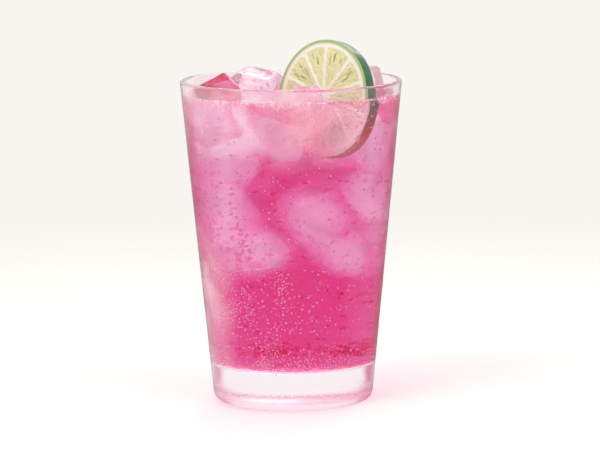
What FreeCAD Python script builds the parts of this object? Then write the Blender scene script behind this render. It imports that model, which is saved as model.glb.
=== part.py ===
"""Iced raspberry and lime drink in a heavy-based tumbler, with a lime wheel standing in the ice.

Frame: millimetres, +Z up, origin at the centre of the foot, on the table. The tumbler's mouth opens
upwards, and -Y is the side that the drink is served from: the lime wheel's cut face looks that way.

Pieces, one solid each:
  glass        pressed tumbler: sloping wall, round lip, heel, thick base with a hollow under it
  drink        the liquid up to its level, with its rim of meniscus, cut round the ice and the lime
  lime_wheel   slice through the middle of a lime: curved skin, and segments sunk between membranes
  ice_*        cubes from a tapered ice tray that stand out of the liquid, each melted its own way
"""
import math
import os

import FreeCAD
import Part
from FreeCAD import Rotation, Vector

# ---- tumbler -------------------------------------------------------------------------------------
GLASS_HEIGHT = 131.0
RIM_DIAMETER = 90.0
FOOT_DIAMETER = 64.4        # where the sloping wall would meet the table if the heel were sharp
HEEL_ROUND = 4.2
LIP_WALL = 2.1              # wall at the lip
FLOOR_WALL = 3.0            # wall at the inside floor
LIP_ROUND_SHARE = 0.44      # each lip edge's round, as a share of the wall there
BASE_THICKNESS = 15.4       # table to the edge of the inside floor
FLOOR_DISH = 0.9            # the inside floor sinks this much to its centre
FLOOR_CORNER_ROUND = 3.2
FLOOR_RING = 4.3            # level ring between the floor's dish and the wall
HOLLOW_DIAMETER = 42.0      # shallow hollow under the base, inside the resting ring
HOLLOW_DEPTH = 1.3

# ---- drink ---------------------------------------------------------------------------------------
HEADSPACE = 6.2             # liquid level below the lip
MENISCUS_RISE = 1.0
MENISCUS_WIDTH = 1.8

# ---- lime wheel ----------------------------------------------------------------------------------
LIME_DIAMETER = 46.2
LIME_LENGTH = 54.0          # the whole lime, stem to tip: sets how fast the skin curves over the slice
LIME_SLICE = 5.0
LIME_EDGE_ROUND = 0.25
RIND_WIDTH = 3.0            # skin and white pith round the pulp
SEGMENTS = 10
SEGMENT_UNEVEN = 2.2        # degrees that a membrane may stray from even spacing
UNEVEN_TURN = 2.4           # radians of that unevenness from one membrane to the next
MEMBRANE = 0.9
CORE_DIAMETER = 4.4
SEGMENT_CORNER_ROUND = 1.3
PULP_SUNK = 0.35            # the pulp lies this far below the membranes on both cut faces
LIME_YAW = 41.0             # degrees that the cut face turns from -Y towards -X
LIME_LEAN = 9.0             # degrees that its top leans back
LIME_SPIN = -18.0           # degrees that the segments turn about the wheel's axis
LIME_OFFSET = 3.7           # its middle plane passes this far behind the tumbler's axis
LIME_WALL_GAP = 3.3         # between its rim and the wall, along that plane, at the liquid's level
LIME_SUNK = 0.4             # its centre lies this far below the level

# ---- ice -----------------------------------------------------------------------------------------
ICE_TAPER = 4.0             # degrees of draft from the tray
ICE_DIMPLE_DIAMETER = 13.0
ICE_CLEARANCE = 0.6         # liquid that stays between ice and glass, or ice and lime, as it melts
ICE_RING = 42.2             # mouth radius that these cubes are laid out for: they grow and shrink with it
ICE_CUBES = [               # name, sides, edge round, dimple depth, (yaw, pitch, roll), centre from the level
    ("ice_left", (16.5, 19.0, 22.5), 1.6, 0.0, (12.0, -26.0, 14.0), Vector(-26.9, 2.0, -6.2)),
    ("ice_back", (20.0, 20.0, 21.0), 4.6, 1.1, (-24.0, 11.0, 9.0), Vector(-14.8, 24.2, -3.2)),
    ("ice_centre", (16.0, 17.0, 20.0), 3.2, 0.8, (6.0, -7.0, 4.0), Vector(6.2, 25.2, -7.4)),
    ("ice_right", (15.0, 16.0, 20.0), 2.2, 0.0, (24.0, -19.0, -4.0), Vector(30.2, 8.0, -0.6)),
    ("ice_front", (16.0, 16.0, 19.0), 3.0, 0.7, (-44.0, -9.0, 20.0), Vector(5.0, -22.5, -5.4)),
]


def wall_radius_outside(z):
    """Radius of the tumbler's outer wall at a height, from the foot's sharp corner to the lip."""
    return (FOOT_DIAMETER + (RIM_DIAMETER - FOOT_DIAMETER) * z / GLASS_HEIGHT) / 2


def wall_radius_inside(z):
    """Radius of the inside wall: the wall thickens evenly from the lip down to the floor."""
    share = (GLASS_HEIGHT - z) / (GLASS_HEIGHT - BASE_THICKNESS)
    return wall_radius_outside(z) - (LIP_WALL + (FLOOR_WALL - LIP_WALL) * share)


def in_section(x, z):
    """A point of a profile that will turn about Z."""
    return Vector(x, 0, z)


def rounded_chain(corners):
    """Edges along [(point, round), ...], each inner corner replaced by its tangent arc."""
    edges = []
    last = corners[0][0]
    for i in range(1, len(corners) - 1):
        point, radius = corners[i]
        back = (corners[i - 1][0] - point).normalize()
        ahead = (corners[i + 1][0] - point).normalize()
        if radius <= 0:
            edges.append(Part.LineSegment(last, point).toShape())
            last = point
            continue
        half_angle = back.getAngle(ahead) / 2
        reach = radius / math.tan(half_angle)
        start = point + back * reach
        end = point + ahead * reach
        bisector = (back + ahead).normalize()
        middle = point + bisector * (radius / math.sin(half_angle) - radius)
        edges.append(Part.LineSegment(last, start).toShape())
        edges.append(Part.Arc(start, middle, end).toShape())
        last = end
    edges.append(Part.LineSegment(last, corners[-1][0]).toShape())
    return edges


def turned(edges):
    """The solid that a closed chain of edges sweeps round Z."""
    face = Part.Face(Part.Wire(Part.__sortEdges__(edges)))
    return face.revolve(Vector(0, 0, 0), Vector(0, 0, 1), 360)


def level_arc(start, end):
    """Arc that leaves its first point level and ends at the other."""
    run, rise = end.x - start.x, end.z - start.z
    curve = (run ** 2 + rise ** 2) / (2 * rise)
    half_run = run / 2
    half_rise = curve - math.copysign(math.sqrt(curve ** 2 - half_run ** 2), curve)
    return Part.Arc(start, start + in_section(half_run, half_rise), end).toShape()


def floor_dish():
    """The inside floor's shallow dish, from the axis out to the level ring at the wall."""
    edge = in_section(wall_radius_inside(BASE_THICKNESS) - FLOOR_RING, BASE_THICKNESS)
    return level_arc(in_section(0, BASE_THICKNESS - FLOOR_DISH), edge)


def floor_and_wall(top):
    """Corners of the inside of the tumbler, from the edge of the floor's dish up to a height."""
    wall_foot = in_section(wall_radius_inside(BASE_THICKNESS), BASE_THICKNESS)
    return [
        (wall_foot - in_section(FLOOR_RING, 0), 0),
        (wall_foot, FLOOR_CORNER_ROUND),
        (in_section(wall_radius_inside(top), top), 0),
    ]


def make_glass():
    """Tumbler: hollow under the base, resting ring, heel, wall, lip, inside wall and floor."""
    lip_round = LIP_ROUND_SHARE * LIP_WALL
    inside = floor_and_wall(GLASS_HEIGHT)
    outline = [
        (in_section(HOLLOW_DIAMETER / 2, 0), 0),
        (in_section(FOOT_DIAMETER / 2, 0), HEEL_ROUND),
        (in_section(RIM_DIAMETER / 2, GLASS_HEIGHT), lip_round),
        (inside[2][0], lip_round),
        inside[1],
        inside[0],
    ]
    hollow = level_arc(in_section(0, HOLLOW_DEPTH), in_section(HOLLOW_DIAMETER / 2, 0))
    axis = Part.LineSegment(
        in_section(0, HOLLOW_DEPTH), in_section(0, BASE_THICKNESS - FLOOR_DISH)
    ).toShape()
    return turned(rounded_chain(outline) + [hollow, floor_dish(), axis])


def liquid_level():
    return GLASS_HEIGHT - HEADSPACE


def make_drink(sunk_pieces):
    """Liquid up to its level, climbing the wall in a meniscus, cut round what stands in it."""
    level = liquid_level()
    contact = level + MENISCUS_RISE
    wall_top = in_section(wall_radius_inside(contact), contact)
    meniscus_foot = in_section(wall_top.x - MENISCUS_WIDTH, level)
    drink = turned(rounded_chain(floor_and_wall(contact)) + [
        level_arc(meniscus_foot, wall_top),
        Part.LineSegment(meniscus_foot, in_section(0, level)).toShape(),
        Part.LineSegment(in_section(0, level), in_section(0, BASE_THICKNESS - FLOOR_DISH)).toShape(),
        floor_dish(),
    ])
    for piece in sunk_pieces:
        drink = drink.cut(piece)
    return drink


def skin_radius(height):
    """Radius of the lime at a distance along its stem axis from the middle: an ellipse."""
    return LIME_DIAMETER / 2 * math.sqrt(1 - (2 * height / LIME_LENGTH) ** 2)


def membrane_angles():
    """Where each membrane stands round the wheel, in degrees, a little uneven as it grows."""
    step = 360.0 / SEGMENTS
    return [i * step + SEGMENT_UNEVEN * math.sin(UNEVEN_TURN * i) for i in range(SEGMENTS)]


def segment_pocket(start, end, depth):
    """Prism of one segment: between two membranes, its outer corners and its tip at the core rounded."""
    start, end = math.radians(start), math.radians(end)
    outer = LIME_DIAMETER / 2 - RIND_WIDTH
    half_angle = (end - start) / 2
    spread = math.sin(half_angle)
    tip = MEMBRANE / 2 / spread
    tip_round = (CORE_DIAMETER / 2 - tip) * spread / (1 - spread)
    across = math.asin(MEMBRANE / 2 / outer)

    def at(radius, angle):
        return Vector(radius * math.cos(angle), radius * math.sin(angle), 0)

    middle = (start + end) / 2
    apex, first, last = at(tip, middle), at(outer, start + across), at(outer, end - across)
    wire = Part.Wire([
        Part.LineSegment(apex, first).toShape(),
        Part.Arc(first, at(outer, middle), last).toShape(),
        Part.LineSegment(last, apex).toShape(),
    ])
    prism = Part.Face(wire).extrude(Vector(0, 0, depth))
    for corner, radius in ((first, SEGMENT_CORNER_ROUND), (last, SEGMENT_CORNER_ROUND), (apex, tip_round)):
        upright = [e for e in prism.Edges if e.CenterOfMass.isEqual(corner + Vector(0, 0, depth / 2), 1e-6)]
        prism = prism.makeFillet(radius, upright)
    return prism


def make_lime_wheel():
    """Slice with a curved skin, rounded at its cut edges, and a sunk pocket for each segment."""
    half = LIME_SLICE / 2
    edge = skin_radius(half)
    skin = Part.Arc(
        in_section(edge, -half), in_section(skin_radius(0), 0), in_section(edge, half)
    ).toShape()
    wheel = turned([
        skin,
        Part.LineSegment(in_section(edge, half), in_section(0, half)).toShape(),
        Part.LineSegment(in_section(0, half), in_section(0, -half)).toShape(),
        Part.LineSegment(in_section(0, -half), in_section(edge, -half)).toShape(),
    ])
    cut_edges = [e for e in wheel.Edges if e.Length > math.pi * edge and abs(e.CenterOfMass.z) > half / 2]
    wheel = wheel.makeFillet(LIME_EDGE_ROUND, cut_edges)
    angles = membrane_angles()
    for i, start in enumerate(angles):
        end = angles[i + 1] if i + 1 < SEGMENTS else angles[0] + 360.0
        pocket = segment_pocket(start, end, PULP_SUNK)
        for z in (half - PULP_SUNK, -half):
            wheel = wheel.cut(pocket.translated(Vector(0, 0, z)))
    return stood_in_the_glass(wheel)


def stood_in_the_glass(wheel):
    """Turns a wheel about +Z to its lean and yaw, and puts its rim a gap away from the wall."""
    wheel.rotate(Vector(0, 0, 0), Vector(0, 0, 1), LIME_SPIN)
    wheel.rotate(Vector(0, 0, 0), Vector(1, 0, 0), 90.0 - LIME_LEAN)
    wheel.rotate(Vector(0, 0, 0), Vector(0, 0, 1), -LIME_YAW)
    yaw = math.radians(LIME_YAW)
    level = liquid_level()
    half_chord = math.sqrt(wall_radius_inside(level) ** 2 - LIME_OFFSET ** 2)
    along = half_chord - LIME_WALL_GAP - LIME_DIAMETER / 2
    centre = Vector(math.cos(yaw), -math.sin(yaw), 0) * along
    centre += Vector(math.sin(yaw), math.cos(yaw), 0) * LIME_OFFSET
    wheel.translate(centre + Vector(0, 0, level - LIME_SUNK))
    return wheel


def rectangle(width, depth, z):
    """Closed wire of a rectangle about Z at a height."""
    corners = [
        Vector(sx * width / 2, sy * depth / 2, z) for sx, sy in ((-1, -1), (1, -1), (1, 1), (-1, 1))
    ]
    return Part.makePolygon(corners + corners[:1])


def room_for_ice():
    """Inside of the tumbler and well above it, less the clearance to the wall and to the lime."""
    low, high = BASE_THICKNESS + ICE_CLEARANCE, GLASS_HEIGHT + LIME_DIAMETER
    low_edge = in_section(wall_radius_inside(low) - ICE_CLEARANCE, low)
    high_edge = in_section(wall_radius_inside(high) - ICE_CLEARANCE, high)
    inside = turned([
        Part.LineSegment(in_section(0, low), low_edge).toShape(),
        Part.LineSegment(low_edge, high_edge).toShape(),
        Part.LineSegment(high_edge, in_section(0, high)).toShape(),
        Part.LineSegment(in_section(0, high), in_section(0, low)).toShape(),
    ])
    thickness = LIME_SLICE + 2 * ICE_CLEARANCE
    lime = Part.makeCylinder(LIME_DIAMETER / 2 + ICE_CLEARANCE, thickness, Vector(0, 0, -thickness / 2))
    return inside.cut(stood_in_the_glass(lime))


def make_ice(size, edge_round, dimple, turn, centre, room):
    """Cube from a tapered tray, its edges melted round and its open face sunk where it froze last."""
    level = liquid_level()
    growth = wall_radius_inside(level) / ICE_RING
    width, depth, height = (growth * side for side in size)
    draft = 2 * height * math.tan(math.radians(ICE_TAPER))
    cube = Part.makeLoft(
        [rectangle(width - draft, depth - draft, -height / 2), rectangle(width, depth, height / 2)],
        True,
        True,
    )
    cube = cube.makeFillet(growth * edge_round, cube.Edges)
    if dimple > 0:
        depth_there, radius_there = growth * dimple, growth * ICE_DIMPLE_DIAMETER / 2
        ball_radius = (radius_there ** 2 + depth_there ** 2) / (2 * depth_there)
        ball = Part.makeSphere(ball_radius)
        ball.translate(Vector(0, 0, height / 2 - depth_there + ball_radius))
        cube = cube.cut(ball)
    cube.Placement = FreeCAD.Placement(centre * growth + Vector(0, 0, level), Rotation(*turn))
    return cube.common(room)


def main():
    os.makedirs("parts", exist_ok=True)
    pieces = {"glass": make_glass(), "lime_wheel": make_lime_wheel()}
    room = room_for_ice()
    for name, *form in ICE_CUBES:
        pieces[name] = make_ice(*form, room)
    sunk = [shape for name, shape in pieces.items() if name != "glass"]
    pieces["drink"] = make_drink(sunk)
    for name, shape in pieces.items():
        if shape.ShapeType != "Solid":
            if len(shape.Solids) != 1:
                raise ValueError(f"{name} has {len(shape.Solids)} solids")
            shape = shape.Solids[0]
        if not shape.isValid():
            raise ValueError(f"{name} is not a valid solid")
        shape.exportStep(f"parts/{name}.step")
        print(f"{name}: {shape.Volume / 1000:.1f} cm3, {len(shape.Faces)} faces")


main()
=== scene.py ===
"""Looks of an iced raspberry and lime drink in a tumbler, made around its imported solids.

Everything is in metres, in the frame of the solids: +Z up, origin at the centre of the foot. The
tumbler and the ice that stands out of the drink keep their solids and get materials. The drink and
the lime wheel are replaced by pieces with more in them, and bubbles, froth, dew and the ice that lies
under the surface are added.
"""
import math

import bmesh
import bpy
import numpy as np
from bpy.props import FloatProperty, FloatVectorProperty, IntProperty, PointerProperty
from mathutils import Euler, Matrix, Vector, noise
from mathutils.bvhtree import BVHTree


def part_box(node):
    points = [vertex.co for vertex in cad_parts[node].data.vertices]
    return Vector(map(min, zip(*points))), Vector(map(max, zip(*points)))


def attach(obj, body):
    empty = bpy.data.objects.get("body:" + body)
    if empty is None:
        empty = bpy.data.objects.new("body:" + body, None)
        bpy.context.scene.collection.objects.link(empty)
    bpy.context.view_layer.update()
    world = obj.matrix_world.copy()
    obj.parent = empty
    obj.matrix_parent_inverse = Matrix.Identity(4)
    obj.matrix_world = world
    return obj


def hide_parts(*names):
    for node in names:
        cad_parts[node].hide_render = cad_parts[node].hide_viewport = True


bl_info = {
    "name": "Iced raspberry and lime drink",
    "version": (1, 0, 0),
    "blender": (4, 5, 0),
    "location": "View3D > Sidebar > Iced Drink",
    "description": "Builds the looks of an iced drink in a tumbler around its solids",
    "category": "Object",
}

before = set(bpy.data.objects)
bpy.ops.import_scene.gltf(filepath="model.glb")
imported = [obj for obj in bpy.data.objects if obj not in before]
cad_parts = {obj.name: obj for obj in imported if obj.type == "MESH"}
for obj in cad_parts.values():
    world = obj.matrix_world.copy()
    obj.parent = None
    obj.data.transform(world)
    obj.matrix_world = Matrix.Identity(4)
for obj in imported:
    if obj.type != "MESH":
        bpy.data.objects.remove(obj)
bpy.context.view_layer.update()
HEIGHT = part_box("glass")[1].z
LIME_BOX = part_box("lime_wheel")
DRINK_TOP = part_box("drink")[1].z

MM = 0.001
WELD = 0.001 * MM                           # points of a solid's mesh nearer than this are one point
BODY = "root"
TOP_ICE = [name for name in sorted(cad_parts) if name.startswith("ice_")]


def hex_linear(code):
    """Linear red, green and blue of an sRGB hex colour, which is how Blender keeps colours."""
    values = [int(code[i:i + 2], 16) / 255 for i in (1, 3, 5)]
    return [v / 12.92 if v <= 0.04045 else ((v + 0.055) / 1.055) ** 2.4 for v in values]


def add(tree, kind, inputs=None, **settings):
    """Adds a node with its settings; each input is a plain value or another node's output socket."""
    node = tree.nodes.new(kind)
    for key, value in settings.items():
        setattr(node, key, value)
    for key, value in (inputs or {}).items():
        if isinstance(value, bpy.types.NodeSocket):
            tree.links.new(value, node.inputs[key])
        else:
            node.inputs[key].default_value = value
    return node


def colour(code, name, description):
    """Colour property from an sRGB hex code."""
    return FloatVectorProperty(
        name=name, description=description, subtype="COLOR", size=3, min=0, max=1, default=hex_linear(code)
    )


def length(millimetres, name, description):
    """Length property, given in millimetres and kept in metres."""
    return FloatProperty(name=name, description=description, unit="LENGTH", default=millimetres * MM)


def angle(degrees, name, description):
    """Angle property, given in degrees and kept in radians."""
    return FloatProperty(name=name, description=description, subtype="ANGLE", default=math.radians(degrees))


class TumblerSettings(bpy.types.PropertyGroup):
    """Sizes of the tumbler's wall, which the pieces inside and outside it follow"""

    foot_radius: length(32.2, "Foot radius", "Outer wall's radius where it would meet the table")
    rim_radius: length(45.0, "Rim radius", "Outer wall's radius at the lip")
    lip_wall: length(2.1, "Lip wall", "Wall thickness at the lip")
    floor_wall: length(3.0, "Floor wall", "Wall thickness at the inside floor")
    base: length(15.4, "Base", "Height of the inside floor's edge above the table")
    frost: FloatProperty(name="Frost", description="Roughness of the dewy outside", default=0.05)
    veil: FloatProperty(name="Veil", description="How white the mist high on the outside is", default=0.36)


class DrinkSettings(bpy.types.PropertyGroup):
    """Level and colour of the drink"""

    meniscus: length(1.0, "Meniscus", "How far the drink climbs the wall above its level")
    overlap: length(0.12, "Overlap", "How far the drink reaches into the wall, so that no air shows")
    soak: length(0.7, "Soak", "How far the drink reaches into the lime, past its grooves")
    tint: colour("#F700C4", "Tint", "What raspberry lets through of each colour")
    density: FloatProperty(name="Density", description="How strongly it tints, per metre", default=46.0)


class IceSettings(bpy.types.PropertyGroup):
    """Ice that lies under the surface, and the finish of all ice"""

    seed: IntProperty(name="Seed", description="Unevenness of the melted cubes", default=4)
    melt: length(1.8, "Melt", "How deep the dents of melting are")
    gap: length(0.1, "Gap", "Film of drink that is left out between ice and drink")
    wall_gap: length(2.0, "Wall gap", "Drink between the sunk ice and the wall")
    side_gap: length(7.0, "Side gap", "How much more drink that is at the tumbler's left and right")
    clearance: length(1.1, "Clearance", "Drink between the sunk ice and what stands above it")


class LimeSettings(bpy.types.PropertyGroup):
    """Sizes and colours of the lime wheel"""

    diameter: length(46.2, "Diameter", "Across the skin at the middle of the slice")
    stem_length: length(54.0, "Stem length", "Length of the whole lime, which curves the skin")
    slice: length(5.0, "Slice", "Thickness of the slice")
    rind: length(3.0, "Rind", "Skin and pith round the pulp")
    membrane: length(0.9, "Membrane", "Thickness of the skin between segments")
    core: length(4.4, "Core", "Across the pith at the middle")
    segments: IntProperty(name="Segments", description="Segments of pulp", default=10)
    yaw: angle(41, "Yaw", "Turn of the cut face from facing front")
    lean: angle(9, "Lean", "Lean of its top")
    spin: angle(-18, "Spin", "Turn about its own axis")
    pulp: colour("#E9E5A6", "Pulp", "Juice sacs that are full")
    pulp_deep: colour("#A39A2E", "Deep pulp", "Juice sacs that are sunk and clear")
    pith: colour("#F6F2E2", "Pith", "White pith and membranes")
    zest: colour("#A6B96C", "Zest", "Cut edge of the skin")
    skin: colour("#2C7A3B", "Skin", "Green skin")
    skin_deep: colour("#17552A", "Deep skin", "Pores of the skin")
    stain: colour("#DC4A30", "Stain", "Skin that has steeped in the drink")
    # painted light: near white for the cut face under the level, standing for light that the drink takes away
    painted_underwater_light: colour("#FFF0EE", "Washed", "Cut face that has steeped in the drink")


class BubbleSettings(bpy.types.PropertyGroup):
    """Gas in the drink and dew on the tumbler"""

    smallest: length(0.2, "Smallest bubble", "Radius of the smallest bubble on the wall")
    largest: length(0.7, "Largest bubble", "Radius of the largest bubble on the wall")
    seed: IntProperty(name="Seed", description="Places of bubbles and dew", default=7)
    density: FloatProperty(name="Bubbles", description="Bubbles per square metre", default=1.75e6)
    froth: length(0.32, "Froth", "Radius of the largest bubble in the froth")
    froth_density: FloatProperty(name="Froth count", description="Bubbles per square metre", default=5.5e6)
    dew: length(0.34, "Dew", "Radius of the largest drop of dew")
    dew_density: FloatProperty(name="Dew count", description="Drops per square metre", default=3.6e5)


class StageSettings(bpy.types.PropertyGroup):
    """Camera, light and floor"""

    distance: length(1588.9, "Distance", "Camera to the point that it looks at")
    aim: length(65.0, "Aim", "Height of the point that it looks at")
    elevation: angle(8.016, "Elevation", "Camera's height angle")
    roll: angle(0.445, "Roll", "Camera's turn about its view")
    lens: FloatProperty(name="Lens", description="Focal length for a 36 mm sensor, in mm", default=234.2)
    shift_x: FloatProperty(name="Shift aside", description="Lens shift, in frame widths", default=0.0132)
    shift_y: FloatProperty(name="Shift up", description="Lens shift, in frame widths", default=0.0263)
    floor: colour("#F8F5F0", "Floor", "Plain pale floor")


def outer_radius(z):
    """Radius of the tumbler's outer wall at a height."""
    tumbler = bpy.context.scene.drink_tumbler
    return tumbler.foot_radius + (tumbler.rim_radius - tumbler.foot_radius) * z / HEIGHT


def inner_radius(z):
    """Radius of the tumbler's inner wall at a height."""
    tumbler = bpy.context.scene.drink_tumbler
    share = (HEIGHT - z) / (HEIGHT - tumbler.base)
    return outer_radius(z) - tumbler.lip_wall - (tumbler.floor_wall - tumbler.lip_wall) * share


def drink_level():
    """Height of the drink's flat surface."""
    return DRINK_TOP - bpy.context.scene.drink_liquid.meniscus


def new_object(name, mesh, material):
    """Links a finished mesh as a piece of the part."""
    piece = bpy.data.objects.new(name, mesh)
    bpy.context.scene.collection.objects.link(piece)
    if material is not None:
        mesh.materials.clear()
        mesh.materials.append(material)
    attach(piece, BODY)
    return piece


def clear_material(name, ior, tint=(1, 1, 1), gloss=1.0):
    """Clear refracting material that lets lamps through, so that what is inside it is lit.

    Gloss scales its straight-on reflection, which is faint where two clear things touch. Returns the
    material, its Principled node and its output node."""
    material = bpy.data.materials.new(name)
    material.use_nodes = True
    tree = material.node_tree
    tree.nodes.clear()
    clear = add(tree, "ShaderNodeBsdfPrincipled", {
        "Base Color": (*tint, 1), "Roughness": 0.0, "IOR": ior, "Transmission Weight": 1.0,
        "Specular Tint": (gloss, gloss, gloss, 1),
    })
    path = add(tree, "ShaderNodeLightPath")
    through = add(tree, "ShaderNodeBsdfTransparent")
    mix = add(tree, "ShaderNodeMixShader", {
        0: path.outputs["Is Shadow Ray"], 1: clear.outputs[0], 2: through.outputs[0],
    })
    output = add(tree, "ShaderNodeOutputMaterial", {"Surface": mix.outputs[0]})
    return material, clear, output


# ---- tumbler -------------------------------------------------------------------------------------
MIST_PATCHES = 90.0                         # patches of mist a metre, so each is about 11 mm across
HIGH_MIST = (95 * MM, 114 * MM)             # heights between which mist thickens towards the rim
HIGH_MIST_SIDE = (32 * MM, 4 * MM)          # from here on the right to here, it thickens as well
# the left patch is painted reflection: white laid on the wall, not mist
LEFT_PAINTED_REFLECTION = (-22 * MM, -35 * MM)            # a second patch thickens towards the left,
LEFT_PAINTED_REFLECTION_HEIGHT = (80 * MM, 50 * MM)       # and downwards
FOOT_FROST = (1.5 * MM, 9 * MM)             # heights between which the worn foot turns smooth
BEAD_SPACING = 0.9 * MM                     # between the beads that mist runs into


def pressed_glass():
    """Soda-lime tumbler, pressed and fire-polished: clear and smooth inside, misted by cold outside.

    The mist makes the wall whiter near the rim and blurs what is behind it a little; low at the left, painted
    reflection whitens it.
    The foot is rough from standing on tables, so it glows softly."""
    tumbler = bpy.context.scene.drink_tumbler
    material, clear, _ = clear_material("pressed soda-lime glass", 1.5, hex_linear("#FBF1F4"), 0.4)
    tree = material.node_tree
    place = add(tree, "ShaderNodeTexCoord").outputs["Object"]
    axes = add(tree, "ShaderNodeSeparateXYZ", {0: place})
    flat = add(tree, "ShaderNodeCombineXYZ", {0: axes.outputs[0], 1: axes.outputs[1]})
    radius = add(tree, "ShaderNodeVectorMath", {0: flat.outputs[0]}, operation="LENGTH")
    middle = add(tree, "ShaderNodeMapRange", {
        "Value": axes.outputs[2], "From Min": 0.0, "From Max": HEIGHT,
        "To Min": tumbler.foot_radius - tumbler.lip_wall / 2,
        "To Max": tumbler.rim_radius - tumbler.lip_wall / 2,
    })
    outside = add(tree, "ShaderNodeMath", {
        0: radius.outputs["Value"], 1: middle.outputs[0],
    }, operation="GREATER_THAN")
    mist = add(tree, "ShaderNodeTexNoise", {"Vector": place, "Scale": MIST_PATCHES, "Detail": 3.0})
    misted = add(tree, "ShaderNodeMapRange", {
        "Value": mist.outputs["Fac"], "From Min": 0.35, "From Max": 0.7, "To Min": 0.4, "To Max": 1.0,
    })
    frost = add(tree, "ShaderNodeMath", {0: misted.outputs[0], 1: tumbler.frost}, operation="MULTIPLY")
    wall = add(tree, "ShaderNodeMath", {0: frost.outputs[0], 1: outside.outputs[0]}, operation="MULTIPLY")
    climb = add(tree, "ShaderNodeMapRange", {
        "Value": axes.outputs[2], "From Min": HIGH_MIST[0], "From Max": HIGH_MIST[1],
    }, interpolation_type="SMOOTHSTEP")
    drift = add(tree, "ShaderNodeMapRange", {
        "Value": axes.outputs[0], "From Min": HIGH_MIST_SIDE[0], "From Max": HIGH_MIST_SIDE[1],
        "To Min": 0.3, "To Max": 1.0,
    })
    high = add(tree, "ShaderNodeMath", {0: climb.outputs[0], 1: drift.outputs[0]}, operation="MULTIPLY")
    # painted reflection: a white patch low at the left of the wall, laid on through the veil
    left = add(tree, "ShaderNodeMapRange", {
        "Value": axes.outputs[0], "From Min": LEFT_PAINTED_REFLECTION[0], "From Max": LEFT_PAINTED_REFLECTION[1], "To Max": 1.6,
    })
    sunk = add(tree, "ShaderNodeMapRange", {
        "Value": axes.outputs[2], "From Min": LEFT_PAINTED_REFLECTION_HEIGHT[0], "From Max": LEFT_PAINTED_REFLECTION_HEIGHT[1],
    }, interpolation_type="SMOOTHSTEP")
    low = add(tree, "ShaderNodeMath", {0: left.outputs[0], 1: sunk.outputs[0]}, operation="MULTIPLY")
    both = add(tree, "ShaderNodeMath", {0: high.outputs[0], 1: low.outputs[0]}, operation="MAXIMUM")
    fog = add(tree, "ShaderNodeMath", {0: misted.outputs[0], 1: both.outputs[0]}, operation="MULTIPLY")
    white = add(tree, "ShaderNodeMath", {0: outside.outputs[0], 1: tumbler.veil}, operation="MULTIPLY")
    veil = add(tree, "ShaderNodeMath", {0: fog.outputs[0], 1: white.outputs[0]}, operation="MULTIPLY")
    through = add(tree, "ShaderNodeMath", {0: 1.0, 1: veil.outputs[0]}, operation="SUBTRACT")
    tree.links.new(through.outputs[0], clear.inputs["Transmission Weight"])
    foot = add(tree, "ShaderNodeMapRange", {
        "Value": axes.outputs[2], "From Min": FOOT_FROST[0], "From Max": FOOT_FROST[1],
        "To Min": 0.45, "To Max": 0.0,
    })
    rough = add(tree, "ShaderNodeMath", {0: wall.outputs[0], 1: foot.outputs[0]}, operation="MAXIMUM")
    tree.links.new(rough.outputs[0], clear.inputs["Roughness"])
    beads = add(tree, "ShaderNodeTexVoronoi", {
        "Vector": place, "Scale": 1 / BEAD_SPACING,
    }, feature="SMOOTH_F1")
    relief = add(tree, "ShaderNodeMath", {
        0: beads.outputs["Distance"], 1: outside.outputs[0],
    }, operation="MULTIPLY")
    bump = add(tree, "ShaderNodeBump", {"Height": relief.outputs[0], "Strength": 0.12, "Distance": 0.15 * MM})
    tree.links.new(bump.outputs[0], clear.inputs["Normal"])
    return material


class DRINK_OT_tumbler(bpy.types.Operator):
    """Finish the tumbler's own solid in clear glass"""

    bl_idname = "drink.tumbler"
    bl_label = "Tumbler"

    def execute(self, context):
        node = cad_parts["glass"]
        node.data.materials.clear()
        node.data.materials.append(pressed_glass())
        return {"FINISHED"}


# ---- ice under the surface -----------------------------------------------------------------------
# Cubes frozen in the same tray, packed from the surface down to where the drink is free of ice, each with
# its centre and half-sizes in mm and its (pitch, roll, yaw) in degrees.
SUNK_CUBES = [
    ((-24.0, -18.0, 104.0), (12.0, 12.0, 14.0), (4, -6, 35)),
    ((-27.0, 17.0, 103.0), (10.0, 10.0, 11.0), (-8, 14, 20)),
    ((-4.0, -27.0, 110.0), (10.0, 8.0, 9.0), (10, 12, 15)),
    ((0.0, 14.0, 106.0), (9.0, 8.0, 9.0), (-12, 10, 35)),
    ((31.0, -10.0, 104.0), (8.0, 9.0, 10.0), (14, -10, 40)),
    ((20.0, 20.0, 105.0), (10.0, 10.0, 10.0), (-16, 6, 15)),
    ((-19.0, 17.0, 90.0), (13.0, 11.0, 12.0), (-12, 10, 15)),
    ((3.0, 26.0, 91.0), (9.0, 8.0, 9.0), (-6, 14, 10)),
    ((28.0, -12.0, 88.0), (9.0, 9.0, 9.0), (10, 16, -25)),
    ((20.0, 14.0, 89.0), (10.0, 11.0, 11.0), (18, -8, 30)),
    ((-25.0, -12.0, 80.0), (11.0, 11.0, 10.0), (14, 12, -30)),
    ((-15.0, 18.0, 74.0), (12.0, 11.0, 11.0), (-20, 8, 5)),
    ((9.0, -25.0, 78.0), (12.0, 10.0, 9.0), (4, 38, 8)),
    ((9.0, 9.0, 78.0), (12.0, 11.0, 11.0), (-10, 12, 40)),
    ((29.0, 2.0, 74.0), (9.0, 10.0, 9.0), (20, -10, 15)),
    ((-14.0, -23.0, 64.0), (13.0, 10.0, 8.0), (6, -14, 10)),
    ((-13.0, 8.0, 62.0), (10.0, 10.0, 9.0), (10, 20, -20)),
    ((-1.0, 24.0, 63.0), (9.0, 8.0, 8.0), (-14, 6, 25)),
    ((20.0, -19.0, 62.0), (10.0, 9.0, 7.0), (-4, 18, 10)),
    ((17.0, 10.0, 62.0), (10.0, 10.0, 9.0), (20, -12, 35)),
]
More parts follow.
